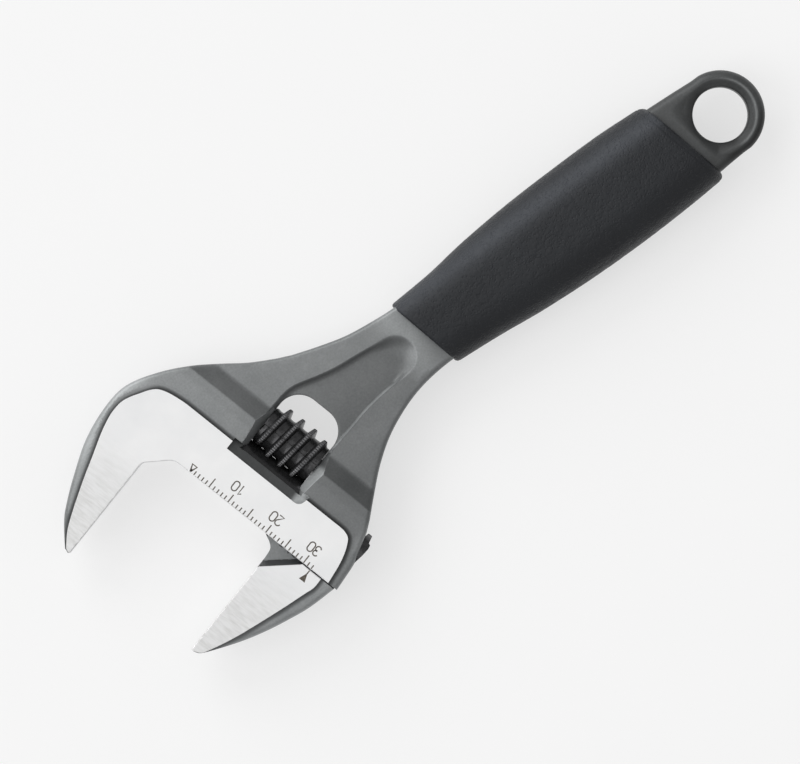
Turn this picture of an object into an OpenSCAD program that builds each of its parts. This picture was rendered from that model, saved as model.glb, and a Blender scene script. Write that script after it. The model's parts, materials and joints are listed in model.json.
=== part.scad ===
// Adjustable wrench with a moulded handle sleeve, at its full jaw opening.
// The origin is the centre of the hang hole at mid-thickness. +X runs along the handle to the jaws,
// +Y is the side that the moving jaw opens to, and +Z is the face that carries the scale.
// The head has its own frame: u lies across the slide, away from the handle, and v lies along the
// slide, in the opening direction. Its reference point is on the handle's axis.

/* [Handle] */
// Radius of the hang hole
hang_r = 5.75; // [4.5:0.25:6.25]
// Outer radius of the hang ring
ring_r = 9.25; // [9:0.05:9.8]
// Thickness of the hang ring
ring_t = 7.5; // [6:0.5:8]
// Depth of the shallow recess around the hang hole, on each face
ring_recess = 1.2; // [0.5:0.1:1.5]
// Thickness of the neck's side ribs and of the cheeks beside the knurl
neck_t = 8; // [7.6:0.2:9]
// Thickness of the neck's web, between its two recesses
web_t = 5.8; // [4:0.2:7]
// Greatest thickness of the sleeve
sleeve_t = 16; // [14:0.5:18]

/* [Head] */
// Distance from the hang hole to the head's reference point
head_x = 110; // [109:0.5:111]
// Angle between the handle and the direction across the slide, in degrees
head_angle = 15; // [14:0.5:16]
// Thickness of the slide bar's ground faces
bar_t = 12.5; // [12:0.25:14]
// Height of the ground faces above the forged rim, on each side
ground_step = 0.5; // [0.2:0.1:0.8]
// Thickness of the raised band between the cheeks and the slide bar
band_t = 11.25; // [10.5:0.25:11.75]

/* [Jaws] */
// Full opening between the jaws
opening = 32; // [30:0.5:32]
// Thickness of the jaws at their tips
tip_t = 5.6; // [4:0.2:8]
// Gap that is left when the jaws are closed
closed_gap = 0.03; // [0.03:0.01:0.1]

/* [Slide and knurl] */
// Pitch of the knurl's single left-hand thread and of the rack
pitch = 3.2; // [3.2:0.1:3.2]
// Crest radius of the knurl's thread
crest_r = 5.65; // [5.4:0.05:5.7]
// Radius of the knurl's core
core_r = 4.15; // [3.9:0.05:4.2]
// Radius of the pin that the knurl turns on
pin_r = 1.55; // [1.2:0.05:1.6]
// Radial running clearance between the knurl and its pin
pin_clear = 0.05; // [0.02:0.01:0.08]
// Radius of the moving jaw's slide rail
rail_r = 4.5; // [4.3:0.05:4.5]
// Thickness of the moving jaw's web, in the slot of the slide bar
jaw_web_t = 4.8; // [4:0.1:4.8]
// Clearance around the rail and its web
slide_clear = 0.15; // [0.1:0.01:0.2]

/* [Hidden] */
$fn = 72;

forging_colour = [0.44, 0.45, 0.45];
sleeve_colour = [0.2, 0.2, 0.21];
oxide_colour = [0.2, 0.2, 0.2];
pin_colour = [0.6, 0.6, 0.62];

// Places in the head's frame
knurl_u = 2.55;
knurl_v0 = -5.1;
knurl_v1 = 8.7;
window_v0 = knurl_v0 - 0.1;
window_v1 = knurl_v1 + 0.1;
window_u0 = -7.7;
rail_u = 11.4;
bar_u0 = 9.4;
bar_u1 = 19.95;
jaw_u = 20.15;
tip_u = 48.5;
taper_u = 26;
fixed_face_v = -19.8;
moving_face_v = fixed_face_v + opening + closed_gap;
rail_v1 = 27.8;
web_v1 = rail_v1 - 0.4;
slope_u0 = -1;
slope_u1 = 3.1;
pad_u0 = 8.3;
pad_groove = 0.5;

// Thread: where its crest passes the top of the knurl, and the half widths of its foot and its crest
thread_v = 6.35;
ridge_foot = 0.92;
ridge_crest = 0.45;

// Rack: the first tooth's centre, the number of teeth, and their tip and root planes
tooth_v = thread_v + pitch / 4;
teeth = 7;
tooth_tip_u = 6.85;
tooth_root_u = 8.35;
lead_angle = atan(pitch / (2 * PI * (crest_r + core_r) / 2));

// Pin: its blind end, its slotted head, and the bore for the head
pin_v0 = -12;
pin_head_v0 = 20.1;
pin_head_v1 = 21.7;
pin_head_r = 2.4;
head_bore_r = 2.5;

// Spring: the bore in the knurl that it sits in, and its ends
spring_bore_r = 3;
spring_bore_v = 5.2;
spring_v0 = 5.55;
spring_v1 = 8.35;

// Where the slide bar meets the fixed jaw's face, with a relieved corner, up to the jaw's tip
inner_corner = [[bar_u1, -14], [20.15, -14.8], [20.6, -15.6], [24.4, -19.6], [24.9, fixed_face_v],
    [tip_u, fixed_face_v]];

// Handle and sleeve
tang_x = 10;
tang_w = 14.4;
tang_t = 8.2;
shoulder_x = 13;
neck_x = 70;
sleeve_shear = 0.235;
// Sleeve stations: place on the axis, half width, sideways shift, share of the full thickness
sleeve_stations = [[9.2, 11, 0, 0.88], [20, 11.62, 0, 0.97], [32, 11.75, 0.15, 1], [44, 11.5, 0.2, 0.98],
    [56, 10.7, 0.25, 0.91], [66, 9.55, 0.3, 0.83], [76.2, 8.85, 0.2, 0.79]];
sleeve_power = 2.5;

// A point between b and c on the smooth curve through a, b, c and d
function mid(a, b, c, d, t) =
    0.5 * (2 * b + (c - a) * t + (2 * a - 5 * b + 4 * c - d) * t * t + (3 * b - a - 3 * c + d) * t * t * t);

// The smooth curve through the points p, with n steps between each two
function curve(p, n = 4) = let (last = len(p) - 1) concat(
    [for (i = [0:last - 1], k = [0:n - 1])
        mid(p[max(i - 1, 0)], p[i], p[i + 1], p[min(i + 2, last)], k / n)],
    [p[last]]);

function arc(centre, r, from, to, n = 24) =
    [for (i = [0:n]) let (a = from + (to - from) * i / n) centre + r * [cos(a), sin(a)]];

// A point of the head's frame, in the handle's frame
function from_head(p) =
    let (c = cos(head_angle), s = sin(head_angle)) [head_x + p[0] * c - p[1] * s, p[0] * s + p[1] * c];

// Faces of a skin over rings of n points, closed at both ends
function skin_faces(rings, n) = concat(
    [for (j = [1:n - 2]) [0, j + 1, j]],
    [for (i = [0:rings - 2], j = [0:n - 1], half = [0, 1]) let (a = i * n + j, b = i * n + (j + 1) % n)
        half == 0 ? [a, b, b + n] : [a, b + n, a + n]],
    [for (j = [1:n - 2]) (rings - 1) * n * [1, 1, 1] + [0, j, j + 1]]);

module in_head() {
    translate([head_x, 0, 0]) rotate([0, 0, head_angle]) children();
}

module plate(t, points) {
    linear_extrude(t, center = true) polygon(points);
}

// A profile in the (u, z) plane, extruded along v
module along_v(v0, v1) {
    translate([0, v1, 0]) rotate([90, 0, 0]) linear_extrude(v1 - v0) children();
}

// A profile in the (v, z) plane, extruded along u
module along_u(u0, u1) {
    translate([u0, 0, 0]) rotate([90, 0, 90]) linear_extrude(u1 - u0) children();
}

// A round bar or hole along v
module rod(u, v0, v1, r) {
    translate([u, v0, 0]) rotate([-90, 0, 0]) cylinder(h = v1 - v0, r = r);
}

// Half thickness of the head across the slide, less a step below the ground faces
module head_section(step) {
    groove_z = band_t / 2 - pad_groove;
    half = [[-60, neck_t / 2], [slope_u0, neck_t / 2], [slope_u1, band_t / 2], [pad_u0, band_t / 2],
        [pad_u0, groove_z], [bar_u0, groove_z], [bar_u0, bar_t / 2 - step], [taper_u, bar_t / 2 - step],
        [tip_u + 1, tip_t / 2 - step]];
    polygon(concat(half, [for (i = [len(half) - 1:-1:0]) [half[i][0], -half[i][1]]]));
}

// Outline of the neck and head
function forging_outline() = concat(
    curve([[neck_x, 8], [77.5, 8.1], [83.5, 8.9], [89, 10.6], [94.5, 13.2], [99.5, 16.7], [104, 20.75],
        [108, 24.6]]),
    [for (p = curve([[6.8, 25.4], [9, 26.05], [12, 26.95], [14, 27.5], [bar_u1, 28]])) from_head(p)],
    [for (p = inner_corner) from_head(p)],
    [for (p = curve([[tip_u, fixed_face_v], [48.7, -20.4], [48, -21.6], [44, -25], [41.3, -26.6], [36, -29],
        [28, -31.9], [20, -33], [14, -32.3], [8, -28.9], [2.8, -24.6], [-1.4, -20.1], [-5.3, -15.6],
        [-9.6, -11.6]])) from_head(p)],
    curve([[100.8, -12.4], [95, -10.5], [89.4, -9], [83.5, -8.2], [78, -7.8], [neck_x, -7.8]]));

// Outline of the ground face of the slide bar and fixed jaw
function ground_outline() = concat(
    [[bar_u1, 25.7], [15, 25.3], [12, 24.6], [10, 23.5], [bar_u0, 22], [bar_u0, -22]],
    curve([[9.9, -24.6], [11.8, -27.9], [15.5, -30.2], [20, -31.1], [25, -30.2], [36, -26.7], [44, -23.7],
        [48, -21.2]]),
    [for (i = [len(inner_corner) - 1:-1:0]) inner_corner[i]]);

// Outline of the hang ring and its shoulders, which widen towards the sleeve
function ring_outline() = concat(
    arc([0, 0], ring_r, 98, 262, 36),
    [[4.5, -ring_r - 0.2], [8.5, -ring_r - 0.45], [shoulder_x, -ring_r - 0.7]],
    [[shoulder_x, ring_r + 0.7], [8.5, ring_r + 0.45], [4.5, ring_r + 0.15]]);

module hang_ring() {
    recess_r = 7;
    difference() {
        plate(ring_t, ring_outline());
        for (side = [-1, 1]) translate([0, 0, side * (ring_t / 2)]) {
            cylinder(h = 2 * ring_recess, r = recess_r, center = true);
            plate(2 * ring_recess, [[0, -recess_r], [7.3, -recess_r], [5.8, 6.6], [0, 6.6]]);
        }
        cylinder(h = 2 * ring_t, r = hang_r, center = true);
    }
}

module tang() {
    translate([tang_x, -tang_w / 2, -tang_t / 2]) cube([neck_x + 1 - tang_x, tang_w, tang_t]);
}

module neck_recess(side) {
    floor_z = web_t / 2;
    z0 = side > 0 ? floor_z : -floor_z - neck_t;
    translate([0, 0, z0]) linear_extrude(neck_t)
        polygon(concat([[106, 8.4], [95, 6]], arc([83.6, 0.6], 4.5, 90, 270, 18),
            [[95, -4.9], [104, -6.9], [107, -6.6]]));
}

// The opening that the knurl sits in, drafted towards both faces
module knurl_window() {
    r = 5;
    u = window_u0 + r;
    plate(2 * bar_t, concat(arc([u, window_v1 - r], r, 90, 180, 12), arc([u, window_v0 + r], r, 180, 270, 12),
        [[bar_u0, window_v0], [bar_u0, window_v1]]));
    draft = [[0, 3.2], [1.9, band_t / 2], [2.2, bar_t], [-3, bar_t], [-3, 3.2]];
    for (side = [-1, 1]) {
        along_u(0, bar_u0) polygon([for (p = draft) [window_v1 + p[0], side * p[1]]]);
        along_u(0, bar_u0) polygon([for (p = draft) [window_v0 - p[0], side * p[1]]]);
    }
}

// Shallow pocket in the ground face beside the window
module bar_pocket() {
    depth = 0.95;
    for (side = [-1, 1]) translate([0, 0, side * (bar_t - depth)])
        plate(bar_t, concat([[9, -8], [11.3, -8]], arc([10.3, 9.5], 1, 0, 90, 6), [[9, 10.5]]));
}

// Blind round channel and slot that the rail and its web slide in
module slide_channel() {
    intersection() {
        rod(rail_u, -34, 36, rail_r + slide_clear);
        plate(bar_t, [[6, -25.8], [8.4, -26.3], [13.1, -29.5], [17, -29.5], [17, 40], [6, 40]]);
    }
    plate(jaw_web_t + 2 * slide_clear, concat([[rail_u, -29.5], [16.2, -29.5]],
        [[20.5, -23.4], [22.6, -20.8], [24.8, -20.3], [24.8, -10], [21, -10], [21, 36], [rail_u, 36]]));
}

module pin_hole() {
    rod(knurl_u, pin_v0 - 0.2, 30, pin_r + pin_clear);
    rod(knurl_u, pin_head_v0 - 0.1, 30, head_bore_r);
}

module body_forging() {
    color(forging_colour) difference() {
        union() {
            hang_ring();
            tang();
            intersection() {
                plate(2 * bar_t, forging_outline());
                in_head() along_v(-60, 60) head_section(ground_step);
            }
            in_head() intersection() {
                plate(2 * bar_t, ground_outline());
                along_v(-60, 60) head_section(0);
            }
        }
        neck_recess(1);
        neck_recess(-1);
        in_head() knurl_window();
        in_head() bar_pocket();
        in_head() slide_channel();
        in_head() pin_hole();
    }
}

module grip_sleeve() {
    sides = 40;
    steps = 4;
    stations = curve(sleeve_stations, steps);
    rings = len(stations);
    points = [for (s = stations, j = [0:sides - 1]) let (
        a = 360 * j / sides,
        y = s[2] + s[1] * sign(cos(a)) * pow(abs(cos(a)), 2 / sleeve_power),
        z = s[3] * sleeve_t / 2 * sign(sin(a)) * pow(abs(sin(a)), 2 / sleeve_power))
        [s[0] - sleeve_shear * y, y, z]];
    color(sleeve_colour) difference() {
        polyhedron(points, skin_faces(rings, sides));
        tang();
        plate(neck_t, [[neck_x, -7.8], [neck_x, 8], [85, 8], [85, -7.8]]);
        plate(ring_t, ring_outline());
    }
}

// One gap between two rack teeth, tilted to the thread's lead
module rack_gap(v) {
    root = 0.75;
    mouth = 1.42;
    translate([0, v, 0]) rotate([-lead_angle, 0, 0])
        plate(16, [[5.5, -mouth], [tooth_root_u, -root], [tooth_root_u, root], [5.5, mouth]]);
}

module jaw_rail() {
    difference() {
        intersection() {
            union() {
                rod(rail_u, 0, rail_v1, rail_r);
                plate(jaw_web_t, [[rail_u, 0], [21, 0], [21, web_v1], [rail_u, web_v1]]);
            }
            plate(bar_t, [[tooth_tip_u, tooth_v - 0.5], [tooth_root_u, tooth_v - 0.85], [13, 2.9], [16, 2.9],
                [21, 10.7], [21, web_v1], [13, web_v1], [9.6, rail_v1], [8.7, rail_v1 - 0.1],
                [tooth_root_u, rail_v1 - 0.55], [tooth_tip_u, rail_v1 - 0.95]]);
        }
        for (i = [0:teeth - 2]) rack_gap(tooth_v + pitch * (i + 0.5));
    }
}

module moving_jaw() {
    outer = curve([[48.4, 12.9], [47.6, 14.4], [44, 17.05], [39.9, 19.7], [35.4, 22.1], [30.9, 24.1],
        [26.2, 25.9], [jaw_u, 27.4]]);
    ground = curve([[48.4, 12.9], [47.5, 14.4], [42, 17.2], [38, 18.8], [30, 21.6], [25, 23.2], [jaw_u, 24]]);
    inner = [[jaw_u, 19.2], [26.3, moving_face_v], [48.4, moving_face_v]];
    color(forging_colour) in_head() {
        jaw_rail();
        plate(jaw_web_t, concat([[20.5, web_v1], [20.5, 10]],
            curve([[21, 11], [22, 12], [24, moving_face_v]]), [[30, moving_face_v], [30, 20]]));
        intersection() {
            plate(2 * bar_t, concat(inner, outer));
            along_v(0, 60) head_section(ground_step);
        }
        intersection() {
            plate(2 * bar_t, concat(inner, ground));
            along_v(0, 60) head_section(0);
        }
    }
}

// The thread's ridge as a skin over sections across the ridge, which run out at both ends
module thread_ridge() {
    turn_steps = 24;
    from = -120;
    to = 1185;
    run_out = 60;
    last = round((to - from) / 360 * turn_steps);
    inner_r = core_r - 0.3;
    points = [for (i = [0:last]) let (
        a = from + (to - from) * i / last,
        v = thread_v - pitch * a / 360,
        rise = min(1, (a - from) / run_out, (to - a) / run_out),
        r = core_r - 0.1 + (crest_r - core_r + 0.1) * rise)
        for (p = [[inner_r, -ridge_foot], [r, -ridge_crest], [r, ridge_crest], [inner_r, ridge_foot]])
            [p[0] * sin(a), v + p[1], p[0] * cos(a)]];
    polyhedron(points, skin_faces(last + 1, 4));
}

module knurl() {
    chamfer = 0.6;
    color(oxide_colour) in_head() translate([knurl_u, 0, 0]) difference() {
        union() {
            rod(0, knurl_v0 + chamfer, knurl_v1, core_r);
            rod(0, knurl_v0, knurl_v0 + chamfer, core_r - 0.4);
            thread_ridge();
        }
        rod(0, knurl_v0 - 1, knurl_v1 + 1, pin_r + pin_clear);
        rod(0, spring_bore_v, knurl_v1 + 1, spring_bore_r);
    }
}

module knurl_pin() {
    slot_w = 0.7;
    slot_depth = 0.8;
    color(pin_colour) in_head() difference() {
        union() {
            rod(knurl_u, pin_v0, pin_head_v1, pin_r);
            rod(knurl_u, pin_head_v0, pin_head_v1, pin_head_r);
        }
        translate([knurl_u - 3, pin_head_v1 - slot_depth, -slot_w / 2]) cube([6, 2, slot_w]);
    }
}

module knurl_spring() {
    wire_r = 0.3;
    coil_r = 2.3;
    turns = 4;
    turn_steps = 18;
    last = turns * turn_steps;
    points = [for (i = [0:last], j = [0:7]) let (
        a = 360 * i / turn_steps,
        b = 45 * j,
        r = coil_r + wire_r * cos(b),
        v = spring_v0 + (spring_v1 - spring_v0) * i / last)
        [r * sin(a), v + wire_r * sin(b), r * cos(a)]];
    color(pin_colour) in_head() translate([knurl_u, 0, 0]) polyhedron(points, skin_faces(last + 1, 8));
}

body_forging();
grip_sleeve();
moving_jaw();
knurl();
knurl_pin();
knurl_spring();
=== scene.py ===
# Adjustable wrench: the looks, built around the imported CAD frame.
# Plan shapes are in millimetres in the head's own frame: u lies across the slide, away from the
# handle, and v lies along the slide, in the opening direction. Handle shapes are in the row frame.
import json
import math

import bmesh
import bpy
import numpy as np
from mathutils import Matrix, Vector, kdtree, noise
from mathutils.geometry import delaunay_2d_cdt


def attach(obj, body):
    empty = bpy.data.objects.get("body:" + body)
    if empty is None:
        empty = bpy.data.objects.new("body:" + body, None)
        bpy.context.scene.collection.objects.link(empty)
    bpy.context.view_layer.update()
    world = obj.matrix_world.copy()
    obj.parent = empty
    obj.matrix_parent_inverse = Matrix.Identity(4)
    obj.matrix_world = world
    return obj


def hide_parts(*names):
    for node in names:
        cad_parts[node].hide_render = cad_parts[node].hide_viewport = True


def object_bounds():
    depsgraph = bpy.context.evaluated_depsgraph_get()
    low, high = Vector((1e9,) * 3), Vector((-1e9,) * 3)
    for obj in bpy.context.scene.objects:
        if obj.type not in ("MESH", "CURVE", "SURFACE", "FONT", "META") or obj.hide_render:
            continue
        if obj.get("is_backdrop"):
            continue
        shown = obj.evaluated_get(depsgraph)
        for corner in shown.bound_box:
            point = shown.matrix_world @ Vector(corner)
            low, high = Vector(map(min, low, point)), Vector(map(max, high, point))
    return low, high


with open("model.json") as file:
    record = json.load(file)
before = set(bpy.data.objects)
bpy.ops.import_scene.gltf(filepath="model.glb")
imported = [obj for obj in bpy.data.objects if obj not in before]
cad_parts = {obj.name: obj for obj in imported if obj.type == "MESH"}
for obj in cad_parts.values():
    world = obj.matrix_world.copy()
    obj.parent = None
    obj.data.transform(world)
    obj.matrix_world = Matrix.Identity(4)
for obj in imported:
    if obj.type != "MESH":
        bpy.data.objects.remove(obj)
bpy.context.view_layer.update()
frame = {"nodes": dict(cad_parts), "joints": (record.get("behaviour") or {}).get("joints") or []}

MM = 0.001

# ---- places taken from the frame

JOINTS = {j["name"]: j for j in frame["joints"]}
KNURL_U = 2.55
V_DIR = np.array(JOINTS["knurl_spin"]["axis"][:2])
U_DIR = np.array([V_DIR[1], -V_DIR[0]])
HEAD = np.array(JOINTS["knurl_spin"]["pos_m"][:2]) / MM - KNURL_U * U_DIR


def to_row(p):
    """Points of the head's frame, in the row frame."""
    p = np.asarray(p, float)
    return HEAD + p[:, :1] * U_DIR + p[:, 1:2] * V_DIR


def to_head(p):
    """Points of the row frame, in the head's frame."""
    q = np.asarray(p, float)[:, :2] - HEAD
    return np.stack([q @ U_DIR, q @ V_DIR], axis=1)


# ---- sizes of the head

BAR_T = 6.25  # half thickness at the ground faces
BAND_T = 5.625  # half thickness of the forged band and rim
NECK_T = 4.0  # half thickness of the neck's ribs and the cheeks
NECK_X = 60  # the cheeks' crown ends here, and the plain tang begins
WEB_T = 2.9  # half thickness of the neck's web
TIP_T = 2.8  # half thickness at the jaw tips
BAR_U0, BAR_U1 = 9.35, 19.95  # the slide bar's ground face
JAW_U = 20.15  # where the moving jaw's body rests on the bar
TAPER_U, TIP_U = 26.0, 48.5  # where the jaws' taper starts, and their tips
BAND_U, SLOPE_RUN = 3.1, 4.3  # start of the raised band, and length of the slope up to it
FIXED_V, MOVING_V = -19.8, 12.23  # the gripping faces
WINDOW_V0, WINDOW_V1 = -5.2, 8.8  # the knurl's window
RING_X = 12.5  # the hang ring ends here, inside the sleeve
HANG_R = 5.75  # radius of the hang hole
RAIL_U, RAIL_R, RAIL_V1 = 11.4, 4.5, 27.8
JAW_WEB_T, SLIDE_CLEAR = 2.4, 0.15  # half thickness of the jaw's web, and its clearance
PITCH = 3.2
TOOTH_V, TEETH = 7.15, 7  # centre of the rack's first tooth, and the number of teeth
TOOTH_TIP_U, TOOTH_ROOT_U = 6.85, 8.35
PAD = 1.05  # width of the slope round the ground faces
CORNER_RUN = 1.1  # width of the slope below the moving jaw's diagonal edge
CRISP_R, SOFT_R, RING_SOFT_R = 0.14, 0.9, 1.8  # radii of machined, forged and ring edges


# ---- plan curves

def curve(points, steps=8):
    """The smooth curve through the points."""
    p = np.asarray(points, float)
    before = np.vstack([p[:1], p[:-2]])
    after = np.vstack([p[2:], p[-1:]])
    t = (np.arange(steps) / steps)[None, :, None]
    a, b, c, d = before[:, None], p[:-1, None], p[1:, None], after[:, None]
    q = 0.5 * (2 * b + (c - a) * t + (2 * a - 5 * b + 4 * c - d) * t ** 2
            + (3 * b - a - 3 * c + d) * t ** 3)
    return np.vstack([q.reshape(-1, 2), p[-1:]])


def smooth_through(x, y, at):
    """A smooth line through (x, y) read at the given places."""
    p = curve(np.column_stack([x, y]), 16)
    return np.interp(at, p[:, 0], p[:, 1])


def ease(t):
    """A soft step from 0 to 1."""
    t = np.clip(t, 0, 1)
    return t * t * (3 - 2 * t)


def arc(centre, r, start, end, steps):
    a = np.radians(np.linspace(start, end, steps + 1))
    return np.asarray(centre) + r * np.stack([np.cos(a), np.sin(a)], axis=1)


def spaced(line, spacing):
    """The same line with every long segment divided."""
    out = [line[:1]]
    for a, b in zip(line[:-1], line[1:]):
        n = max(1, math.ceil(np.hypot(*(b - a)) / spacing))
        out.append(a + (b - a) * (np.arange(1, n + 1) / n)[:, None])
    return np.vstack(out)


def closed(line):
    return np.vstack([line, line[:1]])


def normals(line):
    """Unit normals of an open line, to its left, averaged at the corners."""
    d = np.diff(line, axis=0)
    d = d / np.maximum(np.hypot(d[:, 0], d[:, 1]), 1e-9)[:, None]
    n = np.stack([-d[:, 1], d[:, 0]], axis=1)
    m = np.vstack([n[:1], n[:-1] + n[1:], n[-1:]])
    return m / np.maximum(np.hypot(m[:, 0], m[:, 1]), 1e-9)[:, None]


def both(*offsets):
    """Offsets to the left of a line, then the same ones to its right."""
    return offsets + tuple(-d for d in offsets)


def rows_beside(line, offsets):
    """Points beside a line, at each distance to its left."""
    n = normals(line)
    return [line + n * d for d in offsets]


def distance(points, line):
    """Distance from each point to a line."""
    a, b = line[:-1], line[1:]
    ab = b - a
    length2 = np.maximum((ab ** 2).sum(axis=1), 1e-12)
    out = []
    for chunk in np.array_split(points, max(1, len(points) // 2000)):
        ap = chunk[:, None] - a[None]
        t = np.clip((ap * ab).sum(axis=2) / length2, 0, 1)
        gap = ap - t[..., None] * ab
        out.append(np.sqrt((gap ** 2).sum(axis=2).min(axis=1)))
    return np.concatenate(out)


def inside(points, loop):
    """Whether each point lies inside a closed loop."""
    a, b = loop, np.roll(loop, -1, axis=0)
    out = []
    for chunk in np.array_split(points, max(1, len(points) // 2000)):
        x, y = chunk[:, :1], chunk[:, 1:2]
        crosses = (a[:, 1] > y) != (b[:, 1] > y)
        rise = np.where(b[:, 1] == a[:, 1], 1, b[:, 1] - a[:, 1])
        at = a[:, 0] + (y - a[:, 1]) / rise * (b[:, 0] - a[:, 0])
        out.append((crosses & (x < at)).sum(axis=1) % 2 == 1)
    return np.concatenate(out)


def depth_in(points, loop):
    """Distance to a closed loop, positive inside it."""
    d = distance(points, closed(loop))
    return np.where(inside(points, loop), d, -d)


# ---- meshes

def add_object(name, data):
    obj = bpy.data.objects.new(name, data)
    bpy.context.scene.collection.objects.link(obj)
    return obj


def new_object(name, verts, faces, materials, indices=None, sharp=32):
    mesh = bpy.data.meshes.new(name)
    places = [tuple(v) for v in np.asarray(verts) * MM]
    mesh.from_pydata(places, [], [tuple(map(int, f)) for f in faces])
    for m in materials:
        mesh.materials.append(m)
    if indices is not None:
        mesh.polygons.foreach_set("material_index", np.asarray(indices, np.int32))
    mesh.validate()
    smooth(mesh, sharp)
    return add_object(name, mesh)


def smooth(mesh, sharp=32):
    mesh.shade_smooth()
    mesh.set_sharp_from_angle(angle=math.radians(sharp))


def outward(obj):
    """Turns every face of a closed mesh outwards."""
    bm = bmesh.new()
    bm.from_mesh(obj.data)
    bmesh.ops.recalc_face_normals(bm, faces=bm.faces)
    bm.to_mesh(obj.data)
    bm.free()
    return obj


def tree_of(points):
    """A search tree over plan points."""
    tree = kdtree.KDTree(len(points))
    for i, p in enumerate(points):
        tree.insert((p[0], p[1], 0), i)
    tree.balance()
    return tree


def relief(name, outline, holes, lines, rows, height, spacing, materials, ground=None):
    """A solid, symmetrical about z = 0, over a plan outline with holes. Its upper surface is
    height(points). Lines stay edges, and rows are more points along the shape's features.
    ground gives each face's and each wall's material, by their middles."""
    line_gap, row_gap, grid_gap = 0.04, 0.05, spacing * 0.6
    fixed, edges = [], []
    for line in [closed(outline)] + [closed(h) for h in holes] + lines:
        start = sum(len(f) for f in fixed)
        keep = np.ones(len(line), bool)
        if len(fixed) > len(holes):
            keep = inside(line, outline) & (distance(line, closed(outline)) > line_gap)
            for h in holes:
                keep &= ~inside(line, h) & (distance(line, closed(h)) > line_gap)
        index = start + np.cumsum(keep) - 1
        edges += [(int(index[i]), int(index[i + 1])) for i in range(len(line) - 1)
            if keep[i] and keep[i + 1]]
        fixed.append(line[keep])
    placed = np.vstack(fixed)

    def clear(points, tree, gap):
        """The points that lie on the plan and further than the gap from the tree's points."""
        ok = inside(points, outline)
        for h in holes:
            ok &= ~inside(points, h)
        points = points[ok]
        far = [tree.find((p[0], p[1], 0))[2] > gap for p in points]
        return points[np.array(far, bool)] if len(points) else points

    placed = np.vstack([placed, clear(np.vstack(rows), tree_of(placed), row_gap)])
    lo, hi = outline.min(axis=0), outline.max(axis=0)
    row_step = spacing * 0.866  # for triangles of equal sides
    gx, gy = np.meshgrid(np.arange(lo[0], hi[0], spacing), np.arange(lo[1], hi[1], row_step))
    gx[1::2] += spacing / 2
    grid = clear(np.stack([gx.ravel(), gy.ravel()], axis=1), tree_of(placed), grid_gap)
    plan = np.vstack([placed, grid])
    got = delaunay_2d_cdt([Vector(p) for p in plan], edges, [], 0, 1e-5, False)
    xy = np.array([(v.x, v.y) for v in got[0]])
    tris = np.array([f for f in got[2] if len(f) == 3])
    middle = xy[tris].mean(axis=1)
    keep = inside(middle, outline)
    for h in holes:
        keep &= ~inside(middle, h)
    tris, middle = tris[keep], middle[keep]
    used = np.unique(tris)
    renumber = np.full(len(xy), -1)
    renumber[used] = np.arange(len(used))
    xy, tris = xy[used], renumber[tris]
    e1, e2 = xy[tris[:, 1]] - xy[tris[:, 0]], xy[tris[:, 2]] - xy[tris[:, 0]]
    flip = e1[:, 0] * e2[:, 1] - e1[:, 1] * e2[:, 0] < 0
    tris[flip] = tris[flip][:, ::-1]

    n = len(xy)
    z = height(xy)
    count = {}
    for a, b, c in tris:
        for e in ((a, b), (b, c), (c, a)):
            count[e] = count.get(e, 0) + 1
    border = [e for e in count if (e[1], e[0]) not in count]
    rim = sorted({a for a, b in border})
    slot = {a: 2 * n + i for i, a in enumerate(rim)}
    verts = np.vstack([np.column_stack([xy, z]), np.column_stack([xy, -z]),
            np.column_stack([xy[rim], np.zeros(len(rim))])])
    faces = [tuple(t) for t in tris] + [(c + n, b + n, a + n) for a, b, c in tris]
    walls = []
    for a, b in border:
        walls += [(b, a, slot[a], slot[b]), (slot[b], slot[a], a + n, b + n)]
    index = np.zeros(len(faces) + len(walls), np.int32)
    if ground is not None:
        flat = ground(middle, np.zeros(len(middle), bool)).astype(np.int32)
        wall_middle = np.array([(xy[a] + xy[b]) / 2 for a, b in border])
        upright = ground(wall_middle, np.ones(len(border), bool)).astype(np.int32)
        index = np.concatenate([flat, flat, np.repeat(upright, 2)])
    return new_object(name, verts, faces + walls, materials, index)


def paint(obj, tone):
    """Stores painted light and shade for each vertex, as a factor which the materials multiply their
    colour by.
    """
    co = np.zeros(len(obj.data.vertices) * 3, np.float32)
    obj.data.vertices.foreach_get("co", co)
    values = tone(co.reshape(-1, 3).astype(float) / MM)
    attribute = obj.data.attributes.new("tone", "FLOAT", "POINT")
    attribute.data.foreach_set("value", values.astype(np.float32))
    return obj


def cut_away(obj, tool):
    """Cuts the tool's shape out of the object, and removes the tool."""
    modifier = obj.modifiers.new("cut", "BOOLEAN")
    modifier.operation = "DIFFERENCE"
    modifier.solver = "EXACT"
    modifier.object = tool
    depsgraph = bpy.context.evaluated_depsgraph_get()
    mesh = bpy.data.meshes.new_from_object(obj.evaluated_get(depsgraph))
    obj.modifiers.clear()
    obj.data = mesh
    smooth(mesh)
    bpy.data.objects.remove(tool)


def on_axis(points):
    """Points of the head's frame with their heights, in the row frame."""
    p = np.asarray(points, float)
    return np.column_stack([to_row(p[:, :2]), p[:, 2]])


def lathe(name, profile, materials):
    """A solid of revolution about the knurl's axis, with the profile (v, radius) from end to end."""
    sides = 96
    a = np.linspace(0, 2 * math.pi, sides, endpoint=False)
    verts, faces = [], []
    for v, r in profile:
        verts += [(KNURL_U + r * math.sin(t), v, r * math.cos(t)) for t in a]
    for i in range(len(profile) - 1):
        for j in range(sides):
            k = (j + 1) % sides
            faces.append((i * sides + j, (i + 1) * sides + j, (i + 1) * sides + k, i * sides + k))
    faces.append(tuple(range(sides)))
    last = (len(profile) - 1) * sides
    faces.append(tuple(last + j for j in reversed(range(sides))))
    return new_object(name, on_axis(verts), faces, materials)


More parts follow.
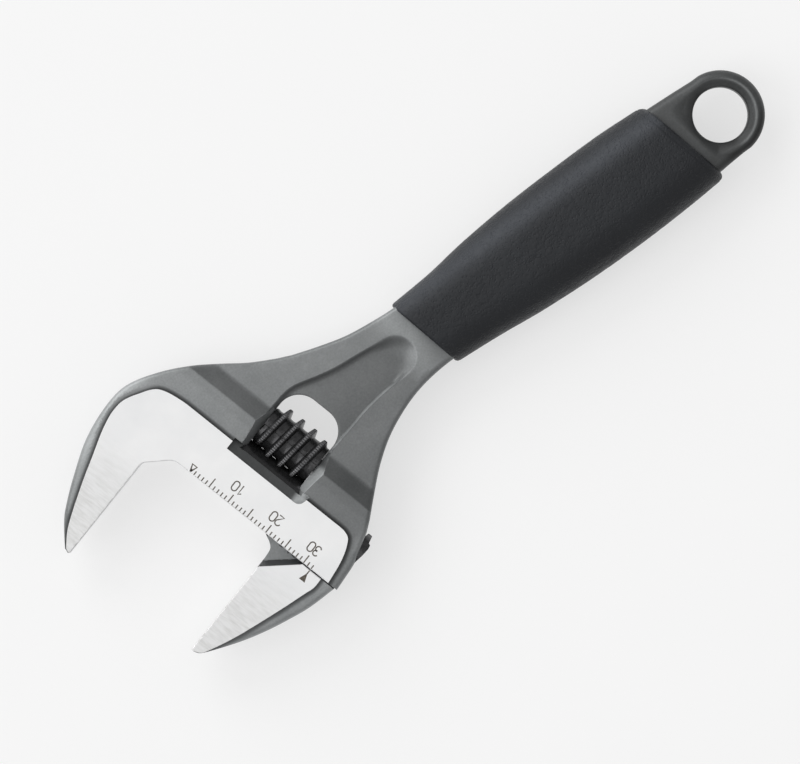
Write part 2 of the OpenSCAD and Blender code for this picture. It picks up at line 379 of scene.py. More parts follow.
def prisms(name, outlines, z0, z1, materials):
    """A flat-sided solid over each plan outline in the head's frame."""
    verts, faces = [], []
    for points in outlines:
        start, n = len(verts), len(points)
        verts += [(u, v, z) for z in (z0, z1) for u, v in points]
        faces += [tuple(start + i for i in reversed(range(n))), tuple(start + n + i for i in range(n))]
        faces += [(start + i, start + (i + 1) % n, start + n + (i + 1) % n, start + n + i)
            for i in range(n)]
    return outward(new_object(name, on_axis(verts), faces, materials))


# ---- materials

class Nodes:
    """A material's nodes."""

    def __init__(self, name):
        self.material = bpy.data.materials.new(name)
        self.material.use_nodes = True
        self.tree = self.material.node_tree
        self.shader = self.tree.nodes["Principled BSDF"]
        self.where = self.add("TexCoord").outputs["Object"]

    def add(self, kind, **values):
        node = self.tree.nodes.new("ShaderNode" + kind)
        for key, value in values.items():
            if hasattr(node, key):
                setattr(node, key, value)
            else:
                node.inputs[key.replace("_", " ")].default_value = value
        return node

    def link(self, a, b):
        self.tree.links.new(a, b)

    def stretched(self, scale, angle):
        """Coordinates turned by the angle about Z, then scaled."""
        turned = self.add("Mapping")
        turned.inputs["Rotation"].default_value = (0, 0, -angle)
        self.link(self.where, turned.inputs["Vector"])
        mapping = self.add("Mapping")
        mapping.inputs["Scale"].default_value = scale
        self.link(turned.outputs["Vector"], mapping.inputs["Vector"])
        return mapping.outputs["Vector"]

    def noise(self, scale, detail=3.0, roughness=0.55, vector=None):
        node = self.add("TexNoise", Scale=scale, Detail=detail, Roughness=roughness)
        self.link(vector or self.where, node.inputs["Vector"])
        return node.outputs["Fac"]

    def cells(self, scale):
        node = self.add("TexVoronoi", Scale=scale)
        self.link(self.where, node.inputs["Vector"])
        return node.outputs["Distance"]

    def ramp(self, value, *stops):
        """Two colours or greys at two places, and a blend between them."""
        node = self.add("ValToRGB")
        for element, (place, colour) in zip(node.color_ramp.elements, stops):
            element.position = place
            element.color = (*colour, 1) if isinstance(colour, tuple) else (colour, colour, colour, 1)
        self.link(value, node.inputs["Fac"])
        return node.outputs["Color"]

    def mix(self, factor, a, b):
        node = self.add("Mix", data_type="RGBA")
        for index, value in ((0, factor), (6, a), (7, b)):
            self.link(value, node.inputs[index])
        return node.outputs[2]

    def times(self, a, b):
        """Colours multiplied."""
        node = self.add("Mix", data_type="RGBA", blend_type="MULTIPLY")
        node.inputs[0].default_value = 1.0
        self.link(a, node.inputs[6])
        self.link(b, node.inputs[7])
        return node.outputs[2]

    def tone(self):
        """The painted light and shade that paint() stored on the mesh."""
        return self.add("Attribute", attribute_name="tone").outputs["Fac"]

    def along(self, direction, by, plus):
        """Distance along a direction of the row frame in metres, scaled and shifted."""
        node = self.add("VectorMath", operation="DOT_PRODUCT")
        self.link(self.where, node.inputs[0])
        node.inputs[1].default_value = (direction[0], direction[1], 0)
        scaled = self.add("Math", operation="MULTIPLY_ADD")
        self.link(node.outputs["Value"], scaled.inputs[0])
        scaled.inputs[1].default_value, scaled.inputs[2].default_value = by, plus
        return scaled.outputs[0]

    def bump(self, height, depth, strength, under=None):
        node = self.add("Bump", Strength=strength, Distance=depth)
        self.link(height, node.inputs["Height"])
        if under is not None:
            self.link(under, node.inputs["Normal"])
        return node.outputs["Normal"]

    def set(self, **values):
        for key, value in values.items():
            socket = self.shader.inputs[key.replace("_", " ")]
            if isinstance(value, (int, float, tuple)):
                socket.default_value = value
            else:
                self.link(value, socket)
        return self.material


def forged_steel():
    n = Nodes("forged_steel")
    fine = n.noise(2300, 4)
    cloud = n.noise(130, 4)
    base = n.ramp(cloud, (0.28, (0.178, 0.186, 0.188)), (0.72, (0.238, 0.246, 0.248)))
    speckle = n.ramp(fine, (0.3, 0.84), (0.7, 1.0))
    rough = n.ramp(cloud, (0.3, 0.4), (0.7, 0.5))
    # the base colour is multiplied by the painted light and shade stored on the mesh
    return n.set(Base_Color=n.times(n.times(base, speckle), n.tone()), Metallic=0.55, Roughness=rough,
            Normal=n.bump(fine, 0.00003, 0.6, under=n.bump(cloud, 0.0004, 0.25)))


def ground_steel():
    n = Nodes("ground_steel")
    turn = math.atan2(U_DIR[1], U_DIR[0])
    worked = n.ramp(n.along(U_DIR, 40.0, -5.15), (0.0, 0.0), (0.6, 1.0))
    streaks = n.noise(1, 4, 0.6, n.stretched((1500, 260, 400), turn))
    fine = n.noise(1, 4, 0.7, n.stretched((6000, 700, 800), turn))
    cloud = n.noise(95, 3)
    plain = n.ramp(cloud, (0.3, (0.80, 0.805, 0.81)), (0.7, (0.86, 0.86, 0.86)))
    marked = n.ramp(streaks, (0.25, (0.64, 0.64, 0.63)), (0.6, (0.80, 0.80, 0.80)))
    colour = n.mix(worked, plain, marked)
    rough = n.mix(worked, n.ramp(fine, (0.3, 0.4), (0.7, 0.46)),
            n.ramp(streaks, (0.3, 0.4), (0.7, 0.5)))
    normal = n.bump(streaks, 0.00002, 0.5, under=n.bump(fine, 0.000006, 0.5))
    return n.set(Base_Color=colour, Metallic=1.0, Roughness=rough, Normal=normal)


def oxide_steel():
    n = Nodes("oxide_steel")
    fine = n.noise(1800, 4)
    colour = n.ramp(fine, (0.3, (0.042, 0.042, 0.043)), (0.75, (0.072, 0.072, 0.075)))
    rough = n.ramp(fine, (0.3, 0.2), (0.7, 0.32))
    # the base colour is multiplied by the painted light and shade stored on the mesh
    return n.set(Base_Color=n.times(colour, n.tone()), Metallic=0.7, Roughness=rough,
            Normal=n.bump(fine, 0.00002, 0.4))


def bright_steel():
    n = Nodes("bright_steel")
    turned = n.noise(900, 3)
    colour = n.ramp(turned, (0.3, 0.4), (0.7, 0.5))
    rough = n.ramp(turned, (0.3, 0.3), (0.7, 0.42))
    return n.set(Base_Color=colour, Metallic=1.0, Roughness=rough)


def sleeve_polymer():
    n = Nodes("sleeve_polymer")
    pores = n.ramp(n.cells(1900), (0.1, 0.0), (0.5, 1.0))
    wrinkle = n.noise(700, 5, 0.6)
    cloud = n.noise(60, 3)
    colour = n.ramp(cloud, (0.3, (0.018, 0.0195, 0.0225)), (0.7, (0.022, 0.024, 0.0275)))
    rough = n.ramp(wrinkle, (0.3, 0.38), (0.7, 0.54))
    grain = n.bump(pores, 0.00015, 0.6, under=n.bump(wrinkle, 0.0005, 0.55))
    # the base colour is multiplied by the painted light and shade stored on the mesh
    return n.set(Base_Color=n.times(colour, n.tone()), Roughness=rough,
            Specular_IOR_Level=0.28, Normal=grain)


def laser_mark():
    n = Nodes("laser_mark")
    burn = n.noise(2500, 3)
    colour = n.ramp(burn, (0.3, (0.07, 0.06, 0.05)), (0.7, (0.15, 0.13, 0.105)))
    return n.set(Base_Color=colour, Metallic=0.3, Roughness=0.55)


FORGED, GROUND, OXIDE, BRIGHT = forged_steel(), ground_steel(), oxide_steel(), bright_steel()
SLEEVE, MARK = sleeve_polymer(), laser_mark()


# ---- shared surface rules

def top_of(u):
    """Half thickness of the ground faces, which taper to the jaw tips."""
    blend = 5.0
    run = np.clip(u - TAPER_U + blend / 2, 0, TIP_U + 1 - TAPER_U + blend / 2)
    past = np.where(run < blend, run * run / (2 * blend), run - blend / 2)
    return BAR_T - past / (TIP_U - TAPER_U) * (BAR_T - TIP_T)


def rounded(d, r):
    """How far a rounded edge of radius r has dropped at the distance d from it."""
    inner = np.clip(r - d, 0, r)
    return r - np.sqrt(np.maximum(r * r - inner * inner, 0))


def pad_drop(d):
    """Drop from the ground face to the forged rim, at the distance d outside the ground face."""
    t = np.clip(d / PAD, 0, 1)
    return (BAR_T - BAND_T) * (1 - (1 - t) ** 2)


SOFT_ROWS = (0.04, 0.13, 0.27, 0.46, 0.7, 1.0)
CRISP_ROWS = (0.05, 0.12, 0.2)


# ---- the forging

INNER_CORNER = [(BAR_U1, -14), (20.08, -14.7), (20.6, -15.6), (24.3, -19.5), (24.9, FIXED_V),
                (TIP_U, FIXED_V)]


def forging_plan():
    """The forging's soft outer stretches, its machined stretch, and its whole outline."""
    neck_top = curve([(70, 8), (77.5, 8.1), (83.5, 8.9), (89, 10.6), (94.5, 13.2), (99.5, 16.7),
        (104, 20.75), (108, 24.6)])
    upper = to_row(curve([(6.8, 25.4), (9, 26.05), (12, 26.95), (14, 27.5), (BAR_U1, 28)]))
    bar_edge = to_row([(BAR_U1, 28)] + INNER_CORNER + [(48.8, -20.2), (48.5, -20.9)])
    lower = to_row(curve([
        (48.5, -20.9), (48, -21.6), (44, -25), (41.3, -26.6), (36, -29), (28, -31.9), (20, -33),
        (14, -32.3), (8, -28.9), (2.8, -24.6), (-1.4, -20.1), (-5.3, -15.6), (-9.6, -11.6)]))
    neck_low = curve([(100.8, -12.4), (95, -10.5), (89.4, -9), (83.5, -8.2), (78, -7.8), (70, -7.8)])
    tang = 7.2
    ring = np.vstack([curve([(13, -9.95), (8.5, -9.7), (4.5, -9.45), (0.8, -9.17)]),
            arc((0, 0), 9.25, 263, 97, 48),
            curve([(0.8, 9.17), (4.5, 9.4), (8.5, 9.7), (13, 9.95)])])
    outline = np.vstack([neck_top, upper, bar_edge[1:-1], lower, neck_low,
            [(70, -tang), (13, -tang)], ring, [(13, tang), (70, tang)]])
    return [np.vstack([neck_top, upper]), np.vstack([lower, neck_low]), ring], bar_edge, outline


def ground_plan():
    """Outline of the forging's ground face."""
    upper = curve([(BAR_U0, 19), (BAR_U0, 20.5), (9.5, 21.8), (10.1, 23.05), (11.5, 23.9),
        (13.5, 24.65), (16, 25.2), (BAR_U1, 25.7)])
    lower = curve([(48.45, -20.7), (47.6, -21.5), (44, -23.7), (36, -26.7), (30, -28.6), (25, -30.2),
        (22, -30.9), (20, -31.15), (17.5, -31), (15.5, -30.2), (13.5, -29), (11.8, -27.9),
        (10.6, -26.6), (9.9, -24.6), (9.5, -22), (BAR_U0, -20)])
    return to_row(np.vstack([upper, INNER_CORNER, [(48.7, -20.1)], lower]))


def window_plan():
    """Outline of the opening that the knurl sits in."""
    r, end_u, bar_u = 5.0, -7.7, 9.4
    end = np.vstack([arc((r + end_u, WINDOW_V1 - r), r, 90, 180, 14),
            arc((r + end_u, WINDOW_V0 + r), r, 180, 270, 14)])
    return to_row(np.vstack([end, [(bar_u, WINDOW_V0), (bar_u, WINDOW_V1)]]))


def pocket_plan():
    """Outline of the shallow pocket in the ground face beside the window."""
    corner = curve([(11.3, 9.6), (11.15, 10.5), (10.4, 11.25), (8.5, 11.7)])
    return to_row(np.vstack([[(8.5, -8), (11.3, -8)], corner]))


def recess_plan():
    """Outline of the recess in the neck's face, which runs into the window."""
    return np.vstack([arc((83.7, 0.55), 4.4, 270, 90, 24),
            curve([(84.5, 4.97), (90, 5.25), (95, 5.95), (98.8, 6.85), (102.7, 7.75),
        (106.7, 8.58), (108.6, 8.85)]),
            curve([(112.6, -5.8), (110.6, -6.15), (107, -7), (104.5, -7.1), (102.5, -6.7),
        (99, -5.8), (95, -5), (90, -4.5), (84.5, -3.9)])])


def hang_recess_plan():
    """Outline of the recess around the hang hole."""
    return np.vstack([arc((0, 0), 7.45, 270, 90, 36),
            curve([(3.5, 7.2), (5.3, 6.8), (6.2, 5.4), (7, 0.5), (7.9, -4.2), (7.9, -6),
        (6.8, -7.2), (3.5, -7.45)])])


SOFT, CRISP, OUTLINE = forging_plan()
GROUND_FACE, WINDOW, POCKET = ground_plan(), window_plan(), pocket_plan()
RECESS, HANG_RECESS = recess_plan(), hang_recess_plan()


def recess_fall(p):
    """Share of the neck recess's depth: soft at its end, steep along its upper side."""
    d = depth_in(p, RECESS)
    side = 0.55 + 0.8 * ease((2.5 - p[:, 1]) / 4)
    width = side + (3.3 - side) * ease((88 - p[:, 0]) / 7)
    t = np.clip(d / width, 0, 1)
    return t * (2 - t)


def hang_fall(p):
    """Share of the fall from the hang ring's crest to the hole's edge."""
    d = np.maximum(depth_in(p, HANG_RECESS), 0)
    s = d / (d + np.maximum(np.hypot(p[:, 0], p[:, 1]) - HANG_R, 0.02))
    return 0.5 * s + 0.5 * ease(s)


def band_height(p):
    """Height of the slightly crowned cheeks, the slope up to the band, and the band."""
    u = to_head(p)[:, 0]
    run, soft = np.clip(u - BAND_U + SLOPE_RUN, 0, SLOPE_RUN), 1.0
    climb = np.where(run < soft, run * run / (2 * soft), run - soft / 2) / (SLOPE_RUN - soft / 2)
    cheek = NECK_T - 0.004 * np.minimum(p[:, 1] ** 2, 90) * ease((-1 - u) / 8)
    return cheek + (BAND_T - cheek) * climb


# A drafted wall's foot height, its rise for each mm, and what that gains for each mm past the band
UPPER_WALL = (3.28, 1.12, 0.106)
LOWER_WALL = (3.1, 1.4, 0.2)
WALL_U0, WALL_U1 = -1.2, 9.45
RISE_TYPICAL = 1.35  # used to step towards a wall's upper edge


def bevel_depth(p):
    """How far the drafted walls beside the window lie below the faces round them."""
    u, v = to_head(p).T
    past = np.clip(u - BAND_U, 0, 6)
    upper = UPPER_WALL[0] + (UPPER_WALL[1] + UPPER_WALL[2] * past) * (v - WINDOW_V1)
    lower = LOWER_WALL[0] + (LOWER_WALL[1] + LOWER_WALL[2] * past) * (WINDOW_V0 - v)
    beside = (u > WALL_U0) & (u < WALL_U1) & ((v > WINDOW_V1 - 0.03) | (v < WINDOW_V0 + 0.03))
    depth = band_height(p) - np.maximum(np.where(v > 2, upper, lower), WEB_T)
    return np.where(beside, depth, -1)


WINDOW_EDGE_R, HOLE_EDGE_R = 0.3, 0.4
HANG_CREST_T, HANG_FALL = 3.7, 1.1  # half thickness at the ring's crest, and the fall to the hole


def forging_height(p):
    """Half thickness of the forging over its plan."""
    u, v = to_head(p).T
    x, y = p.T
    # the ground face stands proud of the rim, which falls away slightly outwards
    d_ground = -depth_in(p, GROUND_FACE)
    rim = top_of(u) - (BAR_T - BAND_T) - 0.13 * np.clip(d_ground - PAD, 0, 4) * ease((u - 9) / 4)
    base = np.where(u > BAND_U, rim, band_height(p))
    base = np.where(x < NECK_X, NECK_T, base)
    z = np.where((u > 5) & (d_ground < PAD), top_of(u) - pad_drop(np.maximum(d_ground, 0)), base)
    z = z - (NECK_T - WEB_T) * recess_fall(p)
    # the window's drafted walls, its edge in the web, and the pocket beside it
    z = np.minimum(z, np.where(bevel_depth(p) > 0, band_height(p) - bevel_depth(p), z))
    z = z - np.where(u < 0, rounded(distance(p, closed(WINDOW)), WINDOW_EDGE_R), 0)
    floor = 4.9 + 0.4 * (u - BAR_U0) + 0.5 * np.clip(v - 8.7, 0, 3)
    z = np.where(depth_in(p, POCKET) > 0.03, np.minimum(z, floor), z)
    # the hang ring: a crest round the hole, and the surface that falls from it
    z = np.where(x < RING_X, HANG_CREST_T - HANG_FALL * hang_fall(p), z)
    # rounded outer edges, which narrow with the rim beside the ground face
    d_out = np.min([distance(p, s) for s in SOFT], axis=0)
    wide = np.where(x < RING_X, RING_SOFT_R, SOFT_R)
    r = np.where(u > 5, np.minimum(wide, 0.7 * (np.maximum(d_ground, 0) + d_out)), wide)
    z = z - rounded(d_out, np.maximum(r, 0.05))
    z = z - rounded(distance(p, CRISP), CRISP_R)
    d_hole = np.abs(np.hypot(x, y) - HANG_R)
    return z - np.where(x < RING_X, rounded(d_hole, HOLE_EDGE_R), 0)


def forging_tone(p):
    """Painted light and shade on the forging's faces: painted shade in the hollows and on most slopes,
    painted highlights on some crests, rims and walls.
    """
    u, v = to_head(p).T
    x, y = p.T
    # the neck and head, paler towards -y as painted light, then painted shade on the slope up to the band
    # and on the edge beside the ground face
    tone = np.clip(1.04 - 0.014 * y, 0.8, 1.3)
    tone = tone * (1 - 0.35 * ease((u + 1.3) / 0.9) * (u < BAND_U - 0.03))
    d_ground = -depth_in(p, GROUND_FACE)
    pad_painted_shade = 0.25 + 0.85 * ease((d_ground - 0.1) / 1.1)
    tone = np.where((u > 5) & (d_ground > -0.05), tone * pad_painted_shade, tone)
    # painted highlights on the head's two outer rims and at the neck's narrowest place
    tone = tone * (1 + 0.5 * ease((-v - 28) / 4) * (d_ground > PAD))
    tone = tone * (1 + 0.35 * ease((v - 24) / 2) * (u > 5))
    tone = tone * (1 + 0.4 * ease(1 - abs(x - 80) / 5) * (y < 7))
    # painted shade in the neck's recess, a painted highlight on its upper wall towards the head, and
    # painted shade on its lower wall
    fall = recess_fall(p)
    wall = np.clip(4 * fall * (1 - fall), 0, 1)
    low = ease((2.5 - y) / 4)
    tone = tone * (1 - 0.28 * fall) * (1 + wall * (2 * (1 - low) * ease((x - 84) / 6) - 0.35 * low))
    # painted highlights on the drafted walls beside the window, and painted shade in the pocket that
    # gives way to a painted highlight towards its upper corner
    bevel = ease(bevel_depth(p) / 0.12 + 1)
    bevel_painted_light = np.where(v > 2, 0.8 + 1.9 * ease((u - 1.5) / 1.5), 1.4)
    tone = tone + (bevel_painted_light - tone) * bevel
    pocket = depth_in(p, POCKET) > 0
    tone = np.where(pocket, 0.45 + 1.1 * ease((v - 8.6) / 1.2), tone)
    # the hang ring, darker overall as painted shade: painted light and shade on its inner slope, a
    # painted highlight on part of its crest, and painted shade on its upper side and its upper outer edge
    hang = hang_fall(p)
    out = np.hypot(x, y)
    crest = ease(1 - np.abs(out - 7.5) / 0.4) * ease((2 - x - np.minimum(y, 0)) / 4) * ease((y + 7.5) / 5)
    ring = 0.42 - 0.22 * hang + 0.25 * hang * ease((1.5 - x) / 3) + 0.55 * crest
    ring = ring - 0.15 * ease((y - 3) / 5)
    ring = ring * (1 - 0.5 * ease((y - 1) / 5) * ease((out - 7.9) / 0.6) * ease((6 - x) / 4))
    return np.where(x < RING_X, ring, tone)


def forging_ground(p, wall):
    """Which parts of the forging are machined."""
    u = to_head(p)[:, 0]
    flat = (depth_in(p, GROUND_FACE) > 0) & (depth_in(p, POCKET) < 0.0)
    machined = (u > BAR_U1 - 0.02) & (distance(p, CRISP) < 0.05)
    return np.where(wall, machined, flat)


def make_forging():
    outline = spaced(closed(OUTLINE), 0.6)[:-1]
    window = spaced(closed(WINDOW), 0.4)[:-1]
    hole = arc((0, 0), HANG_R, 0, 360, 72)[:-1]
    ground = spaced(closed(GROUND_FACE), 0.5)
    pocket = spaced(closed(POCKET), 0.4)
    recess = spaced(closed(RECESS), 0.5)
    hang = spaced(closed(HANG_RECESS), 0.5)
    band = spaced(to_row([(BAND_U, -30), (BAND_U, 30)]), 0.45)
    rows = []
    for side in (1, -1):
        edge = to_row([(u, WINDOW_V1 if side > 0 else WINDOW_V0) for u in np.arange(-1.1, 9.3, 0.35)])
        for _ in range(4):
            edge = edge + side * np.outer(bevel_depth(edge) / RISE_TYPICAL, V_DIR)
        rows += rows_beside(edge, (0.01, 0.13, -0.13, 0.5, -0.5))
    for line in SOFT:
        rows += rows_beside(spaced(line, 0.45), [-d for d in SOFT_ROWS] + [-1.3, -1.8])
    rows += rows_beside(spaced(CRISP, 0.5), [-d for d in CRISP_ROWS])
    rows += rows_beside(ground, both(0.15, 0.35, 0.6, 0.85, PAD))
    rows += rows_beside(pocket, (0.06, -0.06, 0.4, -0.4))
    rows += rows_beside(recess, both(0.12, 0.3, 0.55, 0.9, 1.35))
    rows += rows_beside(hang, both(0.2, 0.4, 0.8, 1.2, 1.7))
    rows += rows_beside(band, (0.3, 1.0, 1.8, 2.6, 3.3, 3.8, 4.3, -0.3))
    rows += rows_beside(closed(window), both(0.1, 0.3, 0.7, 1.1))
    rows += [arc((0, 0), HANG_R + d, 0, 360, 72) for d in (0.05, 0.15, 0.3, 0.4)]
    return relief("wrench_body", outline, [window, hole], [ground, pocket, band], rows,
            forging_height, 0.9, [FORGED, GROUND, OXIDE], forging_ground)


def rail_rows(clear, turns, parts, v0, v1, spacing):
    """Rows along the rail: at turns round its near side, then in steps to where its web starts."""
    r, web = RAIL_R + clear, JAW_WEB_T + clear
    run = math.sqrt(r * r - web * web)
    across = [RAIL_U - r * math.cos(math.radians(a)) for a in turns] + [RAIL_U + run * t for t in parts]
    return [spaced(to_row([(u, v0), (u, v1)]), spacing) for u in across]


def channel_height(p):
    """Half height of the slide channel: round for the rail, then a slot for the jaw's web."""
    u = to_head(p)[:, 0]
    r = RAIL_R + SLIDE_CLEAR
    bore = np.sqrt(np.maximum(r * r - (u - RAIL_U) ** 2, 0.05 ** 2))
    return np.where(u > RAIL_U, np.maximum(bore, JAW_WEB_T + SLIDE_CLEAR), bore)


def make_channel():
    plan = to_row([(6.78, -25.6), (8.4, -26.3), (13.1, -29.5), (16.2, -29.5), (20.5, -23.4),
        (22.6, -20.8), (24.8, -20.3), (24.8, -10), (21, -10), (21, 32), (6.78, 32)])
    outline = spaced(closed(plan), 1.5)[:-1]
    rows = rail_rows(SLIDE_CLEAR, range(9, 91, 9), (0.25, 0.5, 0.75, 1.0), -30, 33, 1.2)
    return relief("channel", outline, [], [], rows, channel_height, 3.0, [OXIDE])


SKIN = 0.15  # points less than this below a face take the face's painted light and shade


def body_tone(p):
    """The forging's painted light and shade on its faces, and a plain darker factor on its walls and
    inside.
    """
    plan = p[:, :2]
    return np.where(np.abs(p[:, 2]) > forging_height(plan) - SKIN, forging_tone(plan), 0.7)


PIN_R, PIN_BORE_R, PIN_HEAD_R, HEAD_BORE_R = 1.55, 1.6, 2.4, 2.5
PIN_V0, PIN_HEAD_V0, PIN_HEAD_V1 = -12, 20.1, 21.7


def finish_forging():
    body = make_forging()
    cut_away(body, make_channel())
    bore = [(PIN_V0 - 0.2, PIN_BORE_R), (20, PIN_BORE_R), (20, HEAD_BORE_R), (30, HEAD_BORE_R)]
    cut_away(body, lathe("pin_hole", bore, [OXIDE]))
    return paint(body, body_tone)


# ---- the moving jaw

JAW_INNER = [(JAW_U, 19.2), (26.3, MOVING_V), (48.4, MOVING_V)]


def jaw_outer():
    """The jaw's outer edge, from its tip to the bar."""
    return curve([(48.4, 12.9), (47.6, 14.4), (44, 17.05), (39.9, 19.7), (35.4, 22.1), (30.9, 24.1),
        (26.2, 25.9), (JAW_U, 27.4)])


def jaw_body_plan():
    """Outline of the thick part of the jaw."""
    return to_row(np.vstack([JAW_INNER, jaw_outer()]))


def jaw_ground_plan():
    """Outline of the jaw's ground face."""
    inner = curve([(48.4, 12.7), (47.5, 14.4), (45, 15.8), (42, 17.2), (38, 18.8), (30, 21.6),
        (25, 23.2), (22.5, 24), (JAW_U, 24)])
    return to_row(np.vstack([JAW_INNER, inner]))


def jaw_plan():
    """Outline of the whole jaw with its web, rail and rack teeth, seen from the scale's side."""
    half = [(TOOTH_ROOT_U, 0.82), (TOOTH_TIP_U + 0.05, 0.5), (TOOTH_TIP_U - 0.07, 0.4)]
    tooth = [(u, -v) for u, v in half] + half[::-1]
    rack = [(u, TOOTH_V + PITCH * i + v) for i in range(TEETH) for u, v in tooth]
    end = [(8.35, 27.2), (8.55, 27.65), (9.4, RAIL_V1), (11, 27.7), (13, 27.4), (JAW_U - 0.1, 27.35)]
    web = curve([(20.4, 9.8), (21, 11), (22, 11.95), (24, MOVING_V)])[::-1]
    inner = [(48.4, MOVING_V)]
    inner_end = [(16.2, 3.2), (15.8, 2.95), (13, 2.9)]
    return to_row(np.vstack([rack, end, jaw_outer()[::-1], inner, web, inner_end]))


JAW_BODY, JAW_GROUND, JAW_PLAN = jaw_body_plan(), jaw_ground_plan(), jaw_plan()
JAW_SOFT = to_row(jaw_outer())
JAW_FACE = to_row([(24, MOVING_V), (48.4, MOVING_V)])
JAW_STEP = to_row(JAW_INNER[:2])


def jaw_height(p):
    """Half thickness of the jaw over its plan."""
    u = to_head(p)[:, 0]
    rail = np.sqrt(np.maximum(RAIL_R ** 2 - (u - RAIL_U) ** 2, 0.6 ** 2))
    thin = np.where(u > RAIL_U, np.maximum(rail, JAW_WEB_T), rail)
    thin = np.where(u > 17, JAW_WEB_T, thin)
    below = distance(p, JAW_STEP)
    foot = BAR_T - 0.3 - (BAR_T - 0.3 - JAW_WEB_T) * below / CORNER_RUN
    thin = np.where(u > JAW_U - 0.01, np.maximum(thin, foot), thin)
    d_ground = np.maximum(-depth_in(p, JAW_GROUND), 0)
    thick = top_of(u) - pad_drop(d_ground) - 0.1 * np.clip(d_ground - PAD, 0, 4)
    d_out = distance(p, JAW_SOFT)
    thick = thick - rounded(d_out, np.maximum(np.minimum(SOFT_R, 0.7 * (d_ground + d_out)), 0.05))
    step = distance(p, to_row([(JAW_U, 27.4)] + JAW_INNER[:2]))
    thick = thick - rounded(step, 0.12)
    z = np.where(depth_in(p, JAW_BODY) > -0.01, thick, thin)
    return z - rounded(distance(p, JAW_FACE), CRISP_R)


def jaw_tone(p):
    """The jaw's painted light and shade: a painted highlight on its rim with painted shade beside the
    ground face, painted shade on the slope below its diagonal edge, a painted highlight on its web, and a
    plain darker factor on its walls.
    """
    plan = p[:, :2]
    u = to_head(plan)[:, 0]
    d_ground = -depth_in(plan, JAW_GROUND)
    rim = 1.6 * (0.3 + 0.7 * ease((d_ground - 0.1) / 1.1))
    below = distance(plan, JAW_STEP)
    web = np.where(below < CORNER_RUN, 0.4, 1.25)
    thin = np.where(u > JAW_U - 0.05, web, 1.0)
    tone = np.where(depth_in(plan, JAW_BODY) > -0.01, rim, thin)
    return np.where(np.abs(p[:, 2]) > jaw_height(plan) - SKIN, tone, 0.8)


def jaw_ground(p, wall):
    """Which parts of the jaw are forged, machined and oxide black: 0, 1 and 2."""
    u, v = to_head(p).T
    flat = depth_in(p, JAW_GROUND) > 0
    machined = (u > 24) & (v < MOVING_V + 0.05)
    return np.select([wall, flat], [np.where(machined, 1, 0), 1], np.where(u < JAW_U - 0.1, 2, 0))


def make_jaw():
    outline = spaced(closed(JAW_PLAN), 0.6)[:-1]
    body = spaced(closed(JAW_BODY), 0.45)
    ground = spaced(closed(JAW_GROUND), 0.45)
    rows = rows_beside(spaced(JAW_SOFT, 0.45), both(*SOFT_ROWS))
    rows += rows_beside(ground, both(0.15, 0.35, 0.6, 0.85, 1.1))
    rows += rows_beside(body, (0.06, -0.06, 0.13, -0.13))
    below = both(0.3, 0.6, 0.9, CORNER_RUN, CORNER_RUN + 0.1)
    rows += rows_beside(spaced(JAW_STEP, 0.45), below[5:] + below[:5])
    rows += rows_beside(spaced(JAW_FACE, 0.5), (0.05, 0.14))
    rows += rail_rows(0, range(12, 91, 6), (0.2, 0.4, 0.6, 0.8, 1.0), 2, 28, 0.6)
    jaw = relief("moving_jaw_steel", outline, [], [body, ground], rows, jaw_height, 0.9,
            [FORGED, GROUND, OXIDE], jaw_ground)
    return paint(jaw, jaw_tone)


# ---- the knurl, its pin and its spring

# The ends and radii are up to 0.12 mm past the CAD solid's, to close slits of light beside the knurl
KNURL_V0, KNURL_V1 = -5.16, 8.76
CORE_R, CREST_R = 4.27, 5.77
VALLEY_DIP = 0.11  # how far the core sinks between two ridges
RIDGE_FOOT, RIDGE_CREST = 0.86, 0.3  # half widths of the ridge
THREAD_FROM, THREAD_TO, RUN_OUT = -120.0, 1165.0, 60.0  # turns of the ridge and its ends, in degrees
CREST_V = 6.35  # where the ridge passes the top of the knurl
SERRATIONS, SERRATION_DEPTH = 56, 0.2  # cuts across the ridge in one turn
KNURL_SHARP = 40  # faces that meet at more than this angle show an edge
SPRING_V, SPRING_BORE_R = 5.2, 3.0  # the bore for the spring


def knurl_radius(a, v):
    """Radius of the knurl at the angle a in degrees and the place v."""
    crest = CREST_V - PITCH * a / 360
    turn = np.round((v - crest) / PITCH)
    off = v - (crest + turn * PITCH)
    along = a - 360 * turn
    rise = np.clip(np.minimum((along - THREAD_FROM) / RUN_OUT, (THREAD_TO - along) / RUN_OUT), 0, 1)
    flank = np.clip((RIDGE_FOOT - np.abs(off)) / (RIDGE_FOOT - RIDGE_CREST), 0, 1)
    flank = 0.5 * ease(flank) + 0.5 * flank
    grooves = 0.5 - 0.5 * np.cos(np.radians(a * SERRATIONS))
    cut = SERRATION_DEPTH * grooves ** 1.5 * np.clip((flank - 0.55) / 0.45, 0, 1)
    r = CORE_R + rise * ((CREST_R - CORE_R) * flank - cut)
    valley = np.clip((PITCH / 2 - np.abs(off)) / (PITCH / 2 - RIDGE_FOOT), 0, 1)
    r = r - rise * VALLEY_DIP * (1 - valley ** 2)
    return r - 0.5 * np.clip(KNURL_V0 + 0.4 - v, 0, 1) - 0.5 * np.clip(v - KNURL_V1 + 0.15, 0, 1)


